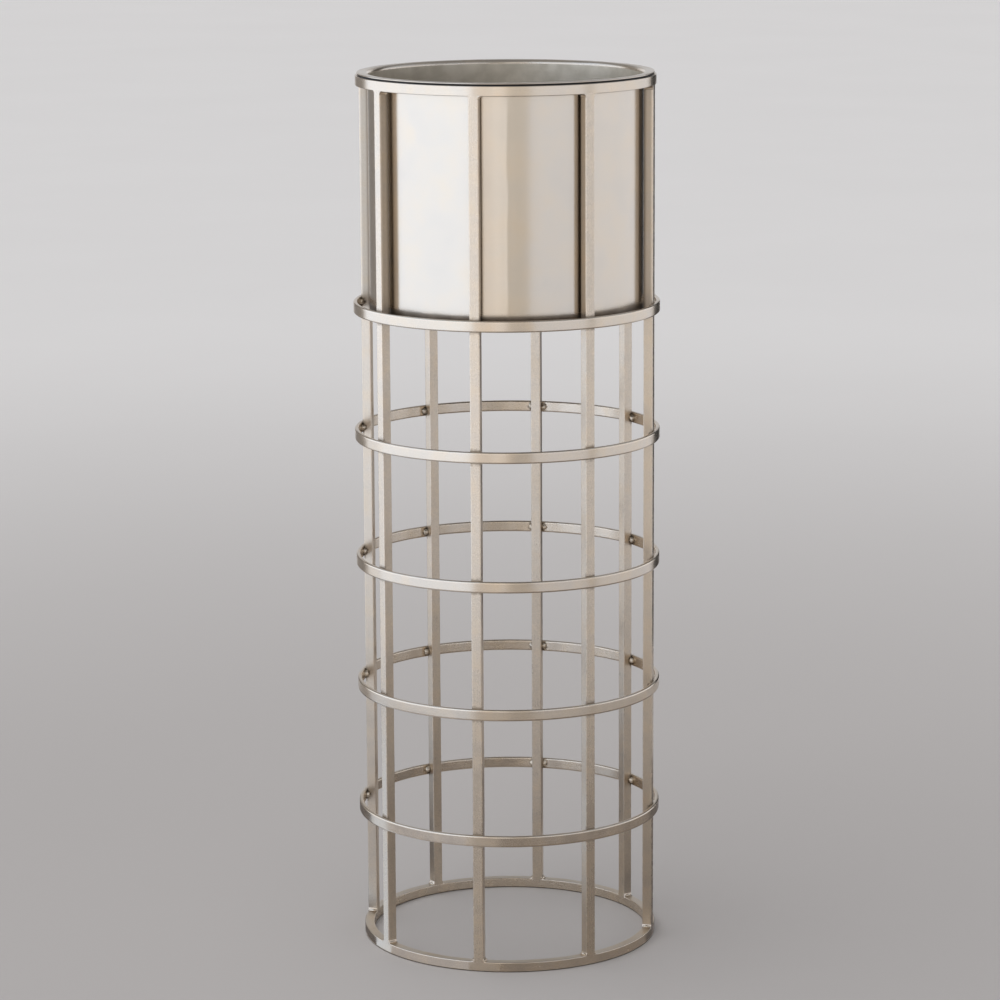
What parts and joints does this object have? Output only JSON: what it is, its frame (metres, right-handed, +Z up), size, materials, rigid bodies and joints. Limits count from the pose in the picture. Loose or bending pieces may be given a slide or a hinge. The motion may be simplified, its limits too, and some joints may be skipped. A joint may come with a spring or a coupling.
{
  "type": "umbrella stand",
  "caption": "Tall round open cage of square bars and flat hoops in brushed nickel, with a lift-out metal pot that hangs by its rim in the top bay.",
  "frame": {"origin": "centre of the circle that the base ring stands on, at floor level", "axes": "+Z up along the axis of the cage; one upright faces -Y and the others follow every 45 degrees"},
  "size_m": [0.3178, 0.3178, 0.914],
  "materials": {
    "cage_bar": "warm brushed nickel plate, fine grain along the bar",
    "cage_hoop": "warm brushed nickel plate, grain along the strip",
    "weld": "nickel plate over weld metal, darker in the corners",
    "pot_sheet": "satin nickel plate outside, duller and mottled inside",
    "gasket": "matt black"
  },
  "bodies": {
    "cage": {"base_ring": "cage_bar", "top_ring": "cage_bar", "bar_1": "cage_bar", "bar_2": "cage_bar", "bar_3": "cage_bar", "bar_4": "cage_bar", "bar_5": "cage_bar", "bar_6": "cage_bar", "bar_7": "cage_bar", "bar_8": "cage_bar", "hoop_1": "cage_hoop", "hoop_2": "cage_hoop", "hoop_3": "cage_hoop", "hoop_4": "cage_hoop", "hoop_5": "cage_hoop", "hoop_1_welds": "weld", "hoop_2_welds": "weld", "hoop_3_welds": "weld", "hoop_4_welds": "weld", "hoop_5_welds": "weld", "base_ring_welds": "weld", "top_ring_welds": "weld"},
    "pot": {"pot_wall": "pot_sheet", "pot_floor": "pot_sheet", "rim_gasket": "gasket"}
  },
  "joints": [
    {"name": "pot_lift", "type": "slide", "parent": "cage", "child": "pot", "axis": [0, 0, 1], "range_m": [0, 0.26]}
  ]
}
